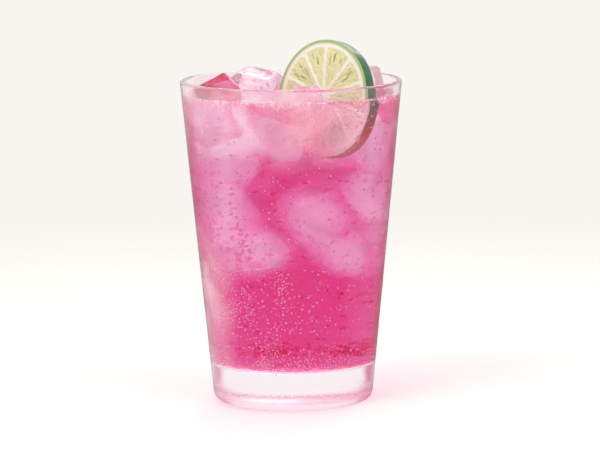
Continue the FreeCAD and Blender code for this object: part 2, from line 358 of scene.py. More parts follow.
# Clear water that has melted off the ice and not mixed in yet: centre and half-sizes in mm.
MELT_WATER = [
    ((-25.0, -15.0, 112.0), (15.0, 17.0, 13.0)),
    ((-24.0, 14.0, 112.0), (13.0, 17.0, 12.0)),
    ((-5.0, -28.0, 114.0), (13.0, 10.0, 10.0)),
    ((-12.0, 16.0, 114.0), (12.0, 14.0, 10.0)),
    ((17.0, -27.0, 112.0), (12.0, 11.0, 14.0)),
    ((24.0, -22.0, 112.0), (11.0, 10.0, 13.0)),
    ((32.0, -6.0, 112.0), (8.0, 14.0, 11.0)),
    ((24.0, 18.0, 113.0), (14.0, 14.0, 11.0)),
]
CUBE_SHARE = 0.85                           # what melting has left of a cube's size
HALO_SHARE = 1.55                           # the melt water round a cube, as a share of its size
CUBE_SQUARENESS = 4.5                       # 2 is a ball, and more is squarer
HALO_SQUARENESS = 1.3
WATER_SQUARENESS = 3.0
HALO_SEED, WATER_SEED = 90, 50              # so that each is dented in its own way
SEED_STEP = (3.1, 1.7, 5.3)                 # how far the dents' pattern moves from one seed to the next
BROAD_DENTS, FINE_DENTS = 1.1, 2.7          # how many dents there are from a lump's middle to its side
FINE_DEPTH = 0.4                            # depth of the fine ones against the broad ones
LUMP_CUTS = 11                              # across each side of a lump's cage
ICE_VOXEL = 0.9 * MM                        # cell of the grid that freezes the cubes together
SOFTENING = 6                               # rounds of smoothing
EDGE_FROM, EDGE_WIDTH = 0.72, 0.24          # where the deep-coloured sides start, as |x| over the radius
EDGE_LEAST, EDGE_SWING = 0.7, 1.2           # and how unevenly: shares of the side gap,
EDGE_PATCHES = 60                           # in this many patches a metre
BESIDE_LIME = 0.6                           # how the room kept at the lime narrows outside its skin
AT_LEVEL = 0.02 * MM                        # what lies this little under the level counts as at it


def drink_room():
    """Search tree of the drink's own solid, whose surface the sunk ice keeps clear of."""
    shell = bmesh.new()
    shell.from_mesh(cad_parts["drink"].data)
    bmesh.ops.remove_doubles(shell, verts=shell.verts, dist=WELD)
    bmesh.ops.recalc_face_normals(shell, faces=shell.faces)
    tree = BVHTree.FromBMesh(shell)
    shell.free()
    return tree


def lime_stand():
    """Matrix that stands a wheel, made flat about the origin, where the lime wheel is."""
    lime = bpy.context.scene.drink_lime
    low, high = LIME_BOX
    stand = Matrix.Rotation(-lime.yaw, 4, "Z") @ Matrix.Rotation(math.pi / 2 - lime.lean, 4, "X")
    return Matrix.Translation((low + high) / 2) @ stand @ Matrix.Rotation(lime.spin, 4, "Z")


def kept_in_room(point, room, wheel, side):
    """Nearest place to a point that leaves drink all round: at the wall, the lime and what stands above.

    Drink fills the far left and right, so that the tumbler's edges are deep in colour.
    Wheel is the lime's stand turned back, and side tells which of its faces the lump lies at."""
    ice = bpy.context.scene.drink_ice
    lime = bpy.context.scene.drink_lime
    local = wheel @ point
    beyond = max(0.0, math.hypot(local.x, local.y) - lime.diameter / 2 - ice.clearance)
    least = lime.slice / 2 + ice.clearance - BESIDE_LIME * beyond
    if local.z * side < least:
        local.z = least * side
        point = wheel.inverted() @ local
    radius = math.hypot(point.x, point.y)
    sideways = min(1.0, max(0.0, abs(point.x) / max(radius, MM) - EDGE_FROM) / EDGE_WIDTH)
    uneven = EDGE_LEAST + EDGE_SWING * noise.noise(point * EDGE_PATCHES)
    widest = inner_radius(point.z) - ice.wall_gap - ice.side_gap * sideways * uneven
    if radius > widest:
        point = Vector((point.x * widest / radius, point.y * widest / radius, point.z))
    near, normal, _, _ = room.find_nearest(point)
    if (point - near).dot(normal) > -ice.clearance:
        point = near - normal * ice.clearance
    return point


def lump(bm, centre, half, turn, squareness, seed, room):
    """Adds a rounded lump, dented by noise and flattened where it would touch something."""
    melt = bpy.context.scene.drink_ice.melt
    half = Vector(half) * MM
    turned = Euler([math.radians(a) for a in turn]).to_matrix()
    wheel = lime_stand().inverted()
    side = math.copysign(1, (wheel @ (Vector(centre) * MM)).z)
    drift = Vector([seed * step for step in SEED_STEP])
    one = bmesh.new()
    bmesh.ops.create_cube(one, size=2.0)
    bmesh.ops.subdivide_edges(one, edges=one.edges[:], cuts=LUMP_CUTS, use_grid_fill=True)
    for vert in one.verts:
        size = sum(abs(c) ** squareness for c in vert.co) ** (1 / squareness)
        direction = vert.co / size
        dent = noise.noise(direction * BROAD_DENTS + drift)
        dent += FINE_DEPTH * noise.noise(direction * FINE_DENTS - drift)
        point = turned @ (direction * half + direction * melt * dent) + Vector(centre) * MM
        vert.co = kept_in_room(point, room, wheel, side)
    mesh = bpy.data.meshes.new("lump")
    one.to_mesh(mesh)
    one.free()
    bm.from_mesh(mesh)
    bpy.data.meshes.remove(mesh)


def sunk_ice(with_water):
    """Mesh of all ice under the surface, frozen together where cubes touch, or of it and its melt water."""
    ice = bpy.context.scene.drink_ice
    bm = bmesh.new()
    room = drink_room()
    for i, (centre, half, turn) in enumerate(SUNK_CUBES):
        lump(bm, centre, [CUBE_SHARE * c for c in half], turn, CUBE_SQUARENESS, ice.seed + i, room)
    if with_water:
        for i, (centre, half, turn) in enumerate(SUNK_CUBES):
            halo = [HALO_SHARE * c for c in half]
            lump(bm, centre, halo, turn, HALO_SQUARENESS, ice.seed + HALO_SEED + i, room)
        for i, (centre, half) in enumerate(MELT_WATER):
            lump(bm, centre, half, (0, 0, 0), WATER_SQUARENESS, ice.seed + WATER_SEED + i, room)
    mesh = bpy.data.meshes.new("cubes")
    bm.to_mesh(mesh)
    bm.free()
    holder = bpy.data.objects.new("holder", mesh)
    bpy.context.scene.collection.objects.link(holder)
    melted = holder.modifiers.new("frozen together", "REMESH")
    melted.mode = "VOXEL"
    melted.voxel_size = ICE_VOXEL
    soft = holder.modifiers.new("melted", "SMOOTH")
    soft.iterations = SOFTENING
    made = bpy.data.meshes.new_from_object(holder.evaluated_get(bpy.context.evaluated_depsgraph_get()))
    bpy.data.objects.remove(holder)
    return made


def melting_ice(name, ior, clearness, tint=(1, 1, 1), stands_out=True):
    """Tray ice that is melting: clouded where it stands out, and without edges where it lies in the drink.

    The tint is painted reflection, the drink's own colour, which wet facets above the level throw back.
    Below the level ice bends light as the drink does, so only its lack of colour shows there."""
    material, clear, _ = clear_material(name, ior)
    tree = material.node_tree
    place = add(tree, "ShaderNodeTexCoord").outputs["Object"]
    cloud = add(tree, "ShaderNodeTexNoise", {"Vector": place, "Scale": 140.0, "Detail": 4.0})
    rough = add(tree, "ShaderNodeMapRange", {
        "Value": cloud.outputs["Fac"], "From Min": 0.4, "From Max": 0.7, "To Min": 0.02, "To Max": 0.25,
    })
    tree.links.new(rough.outputs[0], clear.inputs["Roughness"])
    height = add(tree, "ShaderNodeSeparateXYZ", {0: place}).outputs[2]
    if not stands_out:
        clear.inputs["Base Color"].default_value = (*tint, 1)
        clear.inputs["Transmission Weight"].default_value = clearness
        return material
    dry = add(tree, "ShaderNodeMath", {0: height, 1: drink_level() - AT_LEVEL}, operation="GREATER_THAN")
    tree.links.new(dry.outputs[0], clear.inputs["Alpha"])
    out = add(tree, "ShaderNodeMapRange", {
        "Value": height, "From Min": drink_level() - 2 * MM, "From Max": drink_level() + 1 * MM,
    })
    # painted reflection: facets above the level take the tint, the drink's colour, and those below stay white
    tone = add(tree, "ShaderNodeMix", {
        0: out.outputs[0], 6: (1, 1, 1, 1), 7: (*tint, 1),
    }, data_type="RGBA")
    tree.links.new(tone.outputs[2], clear.inputs["Base Color"])
    through = add(tree, "ShaderNodeMix", {0: out.outputs[0], 2: 1.0, 3: clearness})
    tree.links.new(through.outputs[0], clear.inputs["Transmission Weight"])
    return material


class DRINK_OT_ice(bpy.types.Operator):
    """Finish the ice that stands out of the drink, and make what lies under the surface"""

    bl_idname = "drink.ice"
    bl_label = "Ice"

    def execute(self, context):
        # EE7F9F is painted reflection of the drink on this ice's facets above the level
        clear = melting_ice("clear melting ice", 1.333, 1.0, hex_linear("#EE7F9F"))
        cloudy = melting_ice("cloudy melting ice", 1.333, 0.8)
        for name in TOP_ICE:
            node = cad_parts[name]
            node.data.materials.clear()
            node.data.materials.append(clear if name == "ice_left" else cloudy)
        mesh = sunk_ice(with_water=False)
        shift = np.empty(len(mesh.vertices) * 3)
        mesh.vertex_normals.foreach_get("vector", shift)
        points = np.empty(len(mesh.vertices) * 3)
        mesh.vertices.foreach_get("co", points)
        mesh.vertices.foreach_set("co", points - shift * context.scene.drink_ice.gap)
        mesh.polygons.foreach_set("use_smooth", [True] * len(mesh.polygons))
        sunk = melting_ice("tray ice in the drink", 1.008, 0.89, hex_linear("#F8F5F8"), False)
        new_object("sunk_ice", mesh, sunk)
        return {"FINISHED"}


# ---- drink ---------------------------------------------------------------------------------------
TOUCHING = 0.05 * MM                        # faces nearer than this count as touching
PIT_REACH = 0.1 * MM                        # and so does the wall of the pit that the lime stands in
SKIN_BAND, FACE_BAND = 0.6 * MM, 0.5 * MM   # what lies this near the lime's skin or cut face follows it
SHARP = math.radians(35)                    # edges sharper than this stay sharp


def raspberry_drink():
    """Strained raspberry and lime juice with soda: clear, and deeper the further one looks through."""
    liquid = bpy.context.scene.drink_liquid
    material, clear, output = clear_material("strained raspberry drink", 1.333, gloss=0.05)
    tree = material.node_tree
    skin = add(tree, "ShaderNodeAttribute", attribute_name="skin")
    tree.links.new(skin.outputs["Fac"], clear.inputs["Alpha"])
    absorb = add(tree, "ShaderNodeVolumeAbsorption", {"Color": (*liquid.tint, 1), "Density": liquid.density})
    tree.links.new(absorb.outputs[0], output.inputs["Volume"])
    return material


def drink_mesh():
    """The drink's solid, grown a little into the wall, the lime and the ice, with hollows for sunk ice.

    Its surface shows nothing where ice touches it."""
    liquid = bpy.context.scene.drink_liquid
    bm = bmesh.new()
    bm.from_mesh(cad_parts["drink"].data)
    bmesh.ops.remove_doubles(bm, verts=bm.verts, dist=WELD)
    bm.normal_update()
    level = drink_level()
    lime, stand = bpy.context.scene.drink_lime, lime_stand()
    fruit = bmesh.new()
    fruit.from_mesh(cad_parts["lime_wheel"].data)
    wheel = BVHTree.FromBMesh(fruit)
    fruit.free()
    cubes = []
    for name in TOP_ICE:
        cube = bmesh.new()
        cube.from_mesh(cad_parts[name].data)
        cubes.append(BVHTree.FromBMesh(cube))
        cube.free()
    shares = []
    for face in bm.faces:
        middle = face.calc_center_median()
        at_ice = middle.z < level - AT_LEVEL and any(c.find_nearest(middle)[3] < TOUCHING for c in cubes)
        shares.append(0.0 if at_ice else 1.0)
    moves = []
    for vert in bm.verts:
        at_wall = math.hypot(vert.co.x, vert.co.y) > inner_radius(vert.co.z) - TOUCHING
        if at_wall:
            moves.append((vert, Vector((vert.co.x, vert.co.y, 0)).normalized() * liquid.overlap))
        elif wheel.find_nearest(vert.co)[3] < PIT_REACH:
            local = stand.inverted() @ vert.co
            radius = math.hypot(local.x, local.y)
            if radius > lime.diameter / 2 - SKIN_BAND:
                local.x -= local.x * liquid.soak / radius
                local.y -= local.y * liquid.soak / radius
            if abs(local.z) > lime.slice / 2 - FACE_BAND:
                local.z -= math.copysign(liquid.soak, local.z)
            moves.append((vert, stand @ local - vert.co))
        elif vert.co.z < level - AT_LEVEL / 2:
            moves.append((vert, vert.normal * liquid.overlap))
    for vert, move in moves:
        vert.co += move
    for face in bm.faces:
        face.smooth = True
    for edge in bm.edges:
        edge.smooth = len(edge.link_faces) == 2 and edge.calc_face_angle(0) < SHARP
    ice = sunk_ice(with_water=True)
    ice.flip_normals()
    bm.from_mesh(ice)
    bm.faces.ensure_lookup_table()
    skin = bm.faces.layers.float.new("skin")
    for face, share in zip(bm.faces, shares + [0.0] * (len(bm.faces) - len(shares))):
        face[skin] = share
    mesh = bpy.data.meshes.new("raspberry_drink")
    bm.to_mesh(mesh)
    bm.free()
    return mesh


class DRINK_OT_liquid(bpy.types.Operator):
    """Make the drink, which fills the tumbler up to its level with no air gap at the wall"""

    bl_idname = "drink.liquid"
    bl_label = "Drink"

    def execute(self, context):
        piece = new_object("raspberry_drink", drink_mesh(), raspberry_drink())
        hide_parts("drink")
        return {"FINISHED"}


# ---- lime wheel ----------------------------------------------------------------------------------
MEMBRANE_STRAY = 2.2                        # degrees that a membrane may stray from even spacing
MEMBRANE_TURN = 2.4                         # radians of that unevenness from one membrane to the next
CORNER_SHARPNESS = 1.6                      # per mm: how tightly a segment's corners turn
SAC_SEED = 11
SAC_RINGS = 7                               # rings of juice sacs between the core and the rind
SAC_FIRST, SAC_STEP = 3.4, 2.7              # mm from the axis to the first ring, and between rings
SAC_SPACING = 1.5                           # mm between sacs of one ring
SAC_LENGTH, SAC_WIDTH = 3.4, 0.8            # mm
PULP_SUNK = 0.38                            # mm that the pulp lies below the membranes
SAC_BULGE, SAC_GROOVE = 0.22, 0.12          # mm that a sac stands up, and that the groove round it sinks
ZEST_WIDTH, ZEST_FADE = 2.1, 0.7            # mm from the edge where zest starts, and where it is full
WHEEL_AROUND, FACE_RINGS, SKIN_RINGS = 432, 66, 14      # points round the wheel, and rings of them
RING_CROWDING = 0.9                         # under 1, the rings are closer together near the skin
SKIN_DIMPLES = 0.06                         # mm that the skin strays from round
BACK_TURN = 0.4                             # radians that the back's sacs turn from the front's
SURFACE_MASKS = ("pulp", "groove", "tone", "zest", "depth", "skin")


def soft_step(value, low, high):
    """0 below low, 1 above high, and a smooth rise between, for numpy arrays."""
    share = np.clip((value - low) / (high - low), 0, 1)
    return share * share * (3 - 2 * share)


def membrane_angles(segments):
    """Where each membrane stands round the wheel, as in its solid: a little uneven."""
    strays = [MEMBRANE_STRAY * math.sin(MEMBRANE_TURN * i) for i in range(segments)]
    return np.array([math.radians(i * 360 / segments + stray) for i, stray in enumerate(strays)])


def lime_fields(radius, angle):
    """Relief in mm and colour masks of the cut face, for arrays of radius in mm and angle."""
    lime = bpy.context.scene.drink_lime
    draw = np.random.default_rng(SAC_SEED)
    edge = lime.diameter / 2 / MM
    pulp_edge = edge - lime.rind / MM
    angles = membrane_angles(lime.segments)
    starts = np.append(angles, angles[0] + 2 * np.pi)
    turn = np.mod(angle - angles[0], 2 * np.pi) + angles[0]
    index = np.clip(np.searchsorted(starts, turn, side="right") - 1, 0, lime.segments - 1)
    to_start = radius * np.sin(np.clip(turn - starts[index], 0, np.pi / 2))
    to_end = radius * np.sin(np.clip(starts[index + 1] - turn, 0, np.pi / 2))
    wobble = 0.12 * np.sin(radius * 1.3 + index) + 0.08 * np.sin(radius * 2.9 - 2 * index)
    inward = np.minimum(to_start + wobble, to_end - wobble) - lime.membrane / MM / 2
    distances = (inward, pulp_edge - radius, radius - lime.core / MM / 2)
    closeness = sum(np.exp(-CORNER_SHARPNESS * distance) for distance in distances)
    depth = -np.log(closeness) / CORNER_SHARPNESS
    pulp = soft_step(depth, -0.1, 0.45)

    nearest = np.full(radius.shape, 9.0)
    second = np.full(radius.shape, 9.0)
    tone = np.zeros(radius.shape)
    for i in range(lime.segments):
        start, end = starts[i], starts[i + 1]
        for ring in range(SAC_RINGS):
            middle = SAC_FIRST + SAC_STEP * ring
            count = max(1, int(round(middle * (end - start) / SAC_SPACING)))
            for k in range(count):
                seed_angle = start + (end - start) * (k + 0.5 + draw.uniform(-0.3, 0.3)) / count
                seed_radius = middle + draw.uniform(-1.2, 1.2)
                shade = draw.uniform()
                apart = np.mod(turn - seed_angle + np.pi, 2 * np.pi) - np.pi
                gap = np.hypot((radius - seed_radius) / SAC_LENGTH, radius * apart / SAC_WIDTH)
                closer = gap < nearest
                second = np.where(closer, nearest, np.minimum(second, gap))
                tone = np.where(closer, shade, tone)
                nearest = np.where(closer, gap, nearest)
    groove = 1 - soft_step(second - nearest, 0.0, 0.35)
    bulge = np.sqrt(np.clip(1 - 0.5 * nearest ** 2, 0, 1))
    relief = pulp * (-PULP_SUNK + SAC_BULGE * bulge - SAC_GROOVE * groove)
    zest = soft_step(radius, edge - ZEST_WIDTH, edge - ZEST_FADE)
    depth = np.clip(depth / 3, 0, 1)
    return relief, {"pulp": pulp, "groove": groove, "tone": tone, "zest": zest, "depth": depth}


def lime_mesh():
    """Closed wheel: cut face, curved skin and back face as rings of points about its axis."""
    lime = bpy.context.scene.drink_lime
    half = lime.slice / 2 / MM
    stem = lime.stem_length / 2 / MM
    widest = lime.diameter / 2 / MM

    def skin_radius(z):
        return widest * math.sqrt(1 - (z / stem) ** 2)

    rim = skin_radius(half)
    around = WHEEL_AROUND
    face_radii = [rim * (i / FACE_RINGS) ** RING_CROWDING for i in range(1, FACE_RINGS + 1)]
    skin_heights = [half * math.cos(math.pi * i / SKIN_RINGS) for i in range(1, SKIN_RINGS)]
    rings = [(radius, 1, 0.0) for radius in face_radii]
    rings += [(skin_radius(height), 0, height) for height in skin_heights]
    rings += [(radius, -1, 0.0) for radius in reversed(face_radii)]
    angle = np.linspace(0, 2 * np.pi, around, endpoint=False)
    points = []
    masks = {key: [] for key in SURFACE_MASKS}
    for radius, side, height in rings:
        radii = np.full(around, radius)
        relief, fields = lime_fields(radii, angle if side >= 0 else -angle + BACK_TURN)
        if side:
            z = side * (half + relief * (radius / rim < 0.999))
        else:
            z = np.full(around, height)
            radii = radii + SKIN_DIMPLES * np.sin(angle * 9 + height) * np.cos(angle * 5)
        points.append(np.stack([radii * np.cos(angle), radii * np.sin(angle), z], axis=1))
        for key, value in fields.items():
            masks[key].append(value if side else np.zeros(around))
        masks["skin"].append(np.full(around, 0.0 if side else 1.0))
    points = np.concatenate(points) * MM
    count = len(rings)
    faces = []
    for i in range(count - 1):
        here, after = i * around, (i + 1) * around
        for j in range(around):
            beside = (j + 1) % around
            faces.append((here + j, after + j, after + beside, here + beside))
    faces.append(tuple(range(around)))
    faces.append(tuple((count - 1) * around + j for j in reversed(range(around))))
    mesh = bpy.data.meshes.new("lime_slice")
    mesh.from_pydata(points.tolist(), [], faces)
    for key, values in masks.items():
        mesh.attributes.new(key, "FLOAT", "POINT").data.foreach_set("value", np.concatenate(values))
    mesh.transform(lime_stand())
    mesh.polygons.foreach_set("use_smooth", [True] * len(mesh.polygons))
    return mesh


def lime_material():
    """Fresh lime, cut and wet: juice sacs under a thin film, white pith, and glossy skin with pores."""
    lime = bpy.context.scene.drink_lime
    material = bpy.data.materials.new("wet cut lime")
    material.use_nodes = True
    tree = material.node_tree
    tree.nodes.clear()
    place = add(tree, "ShaderNodeTexCoord").outputs["Object"]
    masks = {
        key: add(tree, "ShaderNodeAttribute", attribute_name=key).outputs["Fac"] for key in SURFACE_MASKS
    }
    clear_sacs = add(tree, "ShaderNodeMapRange", {
        "Value": masks["tone"], "From Min": 0.35, "From Max": 1.0, "To Min": 0.1, "To Max": 1.0,
    })
    deep = add(tree, "ShaderNodeMath", {0: clear_sacs.outputs[0], 1: masks["depth"]}, operation="MULTIPLY")
    sacs = add(tree, "ShaderNodeMix", {
        0: deep.outputs[0], 6: (*lime.pulp, 1), 7: (*lime.pulp_deep, 1),
    }, data_type="RGBA")
    creases = add(tree, "ShaderNodeMath", {0: masks["groove"], 1: 0.6}, operation="MULTIPLY")
    creased = add(tree, "ShaderNodeMix", {
        0: creases.outputs[0], 6: sacs.outputs[2], 7: (*hex_linear("#F4F0D6"), 1),
    }, data_type="RGBA")
    inside = add(tree, "ShaderNodeMix", {
        0: masks["pulp"], 6: (*lime.pith, 1), 7: creased.outputs[2],
    }, data_type="RGBA")
    rind = add(tree, "ShaderNodeMix", {
        0: masks["zest"], 6: inside.outputs[2], 7: (*lime.zest, 1),
    }, data_type="RGBA")
    pores = add(tree, "ShaderNodeTexVoronoi", {"Vector": place, "Scale": 1 / (1.1 * MM)})
    mottle = add(tree, "ShaderNodeTexNoise", {"Vector": place, "Scale": 160.0, "Detail": 3.0})
    pitted = add(tree, "ShaderNodeMath", {
        0: pores.outputs["Distance"], 1: mottle.outputs["Fac"],
    }, operation="MULTIPLY")
    green = add(tree, "ShaderNodeMix", {
        0: pitted.outputs[0], 6: (*lime.skin_deep, 1), 7: (*lime.skin, 1),
    }, data_type="RGBA")
    height = add(tree, "ShaderNodeSeparateXYZ", {0: place}).outputs[2]
    steeped = add(tree, "ShaderNodeMapRange", {
        "Value": height, "From Min": drink_level() - 1 * MM, "From Max": drink_level() - 15 * MM,
        "To Min": 0.0, "To Max": 0.95,
    })
    stained = add(tree, "ShaderNodeMix", {
        0: steeped.outputs[0], 6: green.outputs[2], 7: (*lime.stain, 1),
    }, data_type="RGBA")
    # painted light: under the level the cut face turns toward near white, for light lost in the drink
    under = add(tree, "ShaderNodeMapRange", {
        "Value": height, "From Min": drink_level() - 1 * MM, "From Max": drink_level() - 3 * MM,
        "To Min": 0.0, "To Max": 0.7,
    })
    painted_underwater_light = add(tree, "ShaderNodeMix", {
        0: under.outputs[0], 6: rind.outputs[2], 7: (*lime.painted_underwater_light, 1),
    }, data_type="RGBA")
    whole = add(tree, "ShaderNodeMix", {
        0: masks["skin"], 6: painted_underwater_light.outputs[2], 7: stained.outputs[2],
    }, data_type="RGBA")
    bump = add(tree, "ShaderNodeBump", {
        "Height": pores.outputs["Distance"], "Strength": 0.25, "Distance": 0.2 * MM,
    })
    surface = add(tree, "ShaderNodeBsdfPrincipled", {
        "Base Color": whole.outputs[2], "Roughness": 0.32, "Normal": bump.outputs[0],
        "Coat Weight": 0.25, "Coat Roughness": 0.12,
    })
    add(tree, "ShaderNodeOutputMaterial", {"Surface": surface.outputs[0]})
    return material


class DRINK_OT_lime(bpy.types.Operator):
    """Make the lime wheel with its juice sacs, membranes, pith and skin"""

    bl_idname = "drink.lime"
    bl_label = "Lime wheel"

    def execute(self, context):
        piece = new_object("lime_slice", lime_mesh(), lime_material())
        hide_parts("lime_wheel")
        return {"FINISHED"}


# ---- bubbles, froth and dew ----------------------------------------------------------------------
PATCH_AROUND, PATCH_ROWS = 144, 60          # cells of the patch of wall that drops are strewn over
CROWD_TURN, CROWD_SPREAD = 228, 34          # degrees round the tumbler where bubbles crowd: front left
CROWD_HEIGHT, CROWD_RISE = 42 * MM, 24 * MM
FLOOR_HEIGHT, FLOOR_RISE = 17 * MM, 3.5 * MM            # and again in a band round the floor
FLOOR_CROWD, FLOOR_SPREAD = 2.5, 60         # against the first crowd, and in degrees either way
STRAY_BUBBLES = 0.04                        # crowd of bubbles everywhere else
FROTH_BAND = 1.4 * MM                       # above and below the level
FROTH_DEPTH = 1.2 * MM
DEW_BAND = (15 * MM, 126 * MM)


def scatter_tree():
    """Geometry nodes that strew balls or drops over a surface, as dense as its 'crowd' attribute says."""
    tree = bpy.data.node_groups.new("strewn drops", "GeometryNodeTree")
    sockets = (
        ("Density", "NodeSocketFloat"), ("Smallest", "NodeSocketFloat"), ("Largest", "NodeSocketFloat"),
        ("Flatness", "NodeSocketFloat"), ("Lift", "NodeSocketFloat"), ("Seed", "NodeSocketInt"),
        ("Sides", "NodeSocketInt"), ("Rings", "NodeSocketInt"), ("Rarity", "NodeSocketFloat"),
        ("Material", "NodeSocketMaterial"),
    )
    tree.interface.new_socket("Geometry", in_out="INPUT", socket_type="NodeSocketGeometry")
    for name, kind in sockets:
        tree.interface.new_socket(name, in_out="INPUT", socket_type=kind)
    tree.interface.new_socket("Geometry", in_out="OUTPUT", socket_type="NodeSocketGeometry")
    given = add(tree, "NodeGroupInput").outputs
    crowd = add(tree, "GeometryNodeInputNamedAttribute", {"Name": "crowd"}, data_type="FLOAT")
    density = add(tree, "ShaderNodeMath", {0: crowd.outputs[0], 1: given["Density"]}, operation="MULTIPLY")
    points = add(tree, "GeometryNodeDistributePointsOnFaces", {
        "Mesh": given["Geometry"], "Density": density.outputs[0], "Seed": given["Seed"],
    })
    draw = add(tree, "FunctionNodeRandomValue", {"Seed": given["Seed"]}, data_type="FLOAT")
    mostly_small = add(tree, "ShaderNodeMath", {0: draw.outputs[1], 1: given["Rarity"]}, operation="POWER")
    size = add(tree, "ShaderNodeMapRange", {
        "Value": mostly_small.outputs[0], "To Min": given["Smallest"], "To Max": given["Largest"],
    })
    lift = add(tree, "ShaderNodeMath", {0: size.outputs[0], 1: given["Lift"]}, operation="MULTIPLY")
    offset = add(tree, "ShaderNodeVectorMath", {
        0: points.outputs["Normal"], "Scale": lift.outputs[0],
    }, operation="SCALE")
    placed = add(tree, "GeometryNodeSetPosition", {
        "Geometry": points.outputs["Points"], "Offset": offset.outputs[0],
    })
    ball = add(tree, "GeometryNodeMeshUVSphere", {
        "Segments": given["Sides"], "Rings": given["Rings"], "Radius": 1.0,
    })
    height = add(tree, "ShaderNodeMath", {0: size.outputs[0], 1: given["Flatness"]}, operation="MULTIPLY")
    scale = add(tree, "ShaderNodeCombineXYZ", {0: size.outputs[0], 1: size.outputs[0], 2: height.outputs[0]})
    strewn = add(tree, "GeometryNodeInstanceOnPoints", {
        "Points": placed.outputs[0], "Instance": ball.outputs["Mesh"],
        "Rotation": points.outputs["Rotation"], "Scale": scale.outputs[0],
    })
    real = add(tree, "GeometryNodeRealizeInstances", {0: strewn.outputs[0]})
    smooth = add(tree, "GeometryNodeSetShadeSmooth", {0: real.outputs[0]})
    finish = add(tree, "GeometryNodeSetMaterial", {
        "Geometry": smooth.outputs[0], "Material": given["Material"],
    })
    add(tree, "NodeGroupOutput", {"Geometry": finish.outputs[0]})
    return tree


def strew(base, tree, values):
    """Mesh of what a scatter tree makes on a base mesh; the base goes away."""
    holder = bpy.data.objects.new("holder", base)
    bpy.context.scene.collection.objects.link(holder)
    modifier = holder.modifiers.new("strew", "NODES")
    modifier.node_group = tree
    for item in tree.interface.items_tree:
        if item.in_out == "INPUT" and item.name in values:
            modifier[item.identifier] = values[item.name]
    evaluated = holder.evaluated_get(bpy.context.evaluated_depsgraph_get())
    mesh = bpy.data.meshes.new_from_object(evaluated)
    bpy.data.objects.remove(holder)
    mesh.materials.clear()
    mesh.materials.append(values["Material"])
    mesh.polygons.foreach_set("material_index", [0] * len(mesh.polygons))
    return mesh


def wall_patch(radius_at, low, high, crowd_at, inwards):
    """Open grid on the tumbler's wall with a 'crowd' value at each point."""
    around, rows = PATCH_AROUND, PATCH_ROWS
    points, crowd = [], []
    for i in range(rows + 1):
        z = low + (high - low) * i / rows
        radius = radius_at(z)
        for j in range(around):
            angle = 2 * math.pi * j / around
            points.append((radius * math.cos(angle), radius * math.sin(angle), z))
            crowd.append(max(0.0, crowd_at(angle, z)))
    faces = []
    for i in range(rows):
        for j in range(around):
            ring = (
                i * around + j, i * around + (j + 1) % around,
                (i + 1) * around + (j + 1) % around, (i + 1) * around + j,
            )
            faces.append(ring[::-1] if inwards else ring)
    mesh = bpy.data.meshes.new("patch")
    mesh.from_pydata(points, [], faces)
    mesh.attributes.new("crowd", "FLOAT", "POINT").data.foreach_set("value", crowd)
    return mesh


def bubble_crowd(angle, z):
    """How crowded bubbles are on the wall: most low at the left and round the floor."""
    away = (math.degrees(angle) - CROWD_TURN + 180) % 360 - 180
    low = math.exp(-((away / CROWD_SPREAD) ** 2)) * math.exp(-(((z - CROWD_HEIGHT) / CROWD_RISE) ** 2))
    band = math.exp(-((z - FLOOR_HEIGHT) / FLOOR_RISE) ** 2)
    floor = band * (0.5 + 0.5 * math.exp(-((away / FLOOR_SPREAD) ** 2)))
    clump = noise.noise(Vector((math.cos(angle) * 4, math.sin(angle) * 4, z * 60)))
    return (low + FLOOR_CROWD * floor) * (0.15 + 2.6 * max(0.0, clump + 0.15)) + STRAY_BUBBLES


def dew_crowd(angle, z):
    """How crowded dew is on the outside: patchy all over."""
    return 0.5 + noise.noise(Vector((math.cos(angle) * 6, math.sin(angle) * 6, z * 70)))


def froth_crowd(angle, z):
    """How crowded froth is round the drink's edge: in runs, thickest just under the level."""
    run = 0.75 + 1.2 * noise.noise(Vector((math.cos(angle) * 5, math.sin(angle) * 5, 2)))
    return run * math.exp(-(((z - drink_level()) / FROTH_DEPTH) ** 2))


def gas_bubble():
    """Bubble of gas in a tinted drink: painted highlight in the middle, where it gathers the white around it,
    and painted shade at its edge, where light is turned aside.

    Balls with so few faces would gather no light, so they bend it little and have a faint painted glow
    instead."""
    material, clear, _ = clear_material("bubble of gas in drink", 1.05)
    tree = material.node_tree
    # painted highlight and shade: by facing, the colour goes from light pink in the middle to dark crimson at
    # the edge
    edge = add(tree, "ShaderNodeLayerWeight", {"Blend": 0.45}).outputs["Facing"]
    ring = add(tree, "ShaderNodeMapRange", {"Value": edge, "From Min": 0.05, "From Max": 0.5})
    tone = add(tree, "ShaderNodeMix", {
        0: ring.outputs[0], 6: (*hex_linear("#FFB2D6"), 1), 7: (*hex_linear("#7E1040"), 1),
    }, data_type="RGBA")
    tree.links.new(tone.outputs[2], clear.inputs["Base Color"])
    clear.inputs["Transmission Weight"].default_value = 0.65
    # painted glow: the bubble gives off a little light though it is no lamp
    clear.inputs["Emission Color"].default_value = (*hex_linear("#F08CC8"), 1)
    clear.inputs["Emission Strength"].default_value = 0.2
    return material


def soda_froth():
    """Froth of soda at the level: small bubbles with thin skins, whiter and cloudier than the drink.

    It bends light little and has a faint painted glow, for the same reason as a single bubble does."""
    material, clear, _ = clear_material("froth of soda", 1.05, hex_linear("#FFE2EB"))
    clear.inputs["Transmission Weight"].default_value = 0.5
    # painted glow: the froth gives off a little light though it is no lamp
    clear.inputs["Emission Color"].default_value = (*hex_linear("#FFD3E0"), 1)
    clear.inputs["Emission Strength"].default_value = 0.1
    return material


def dew_drop():
    """Condensed water on cold glass: flat clear drops that take the drink's colour from behind them."""
    material, clear, _ = clear_material("drop of dew", 1.15, hex_linear("#FFE4EC"))
    clear.inputs["Transmission Weight"].default_value = 0.95
    return material


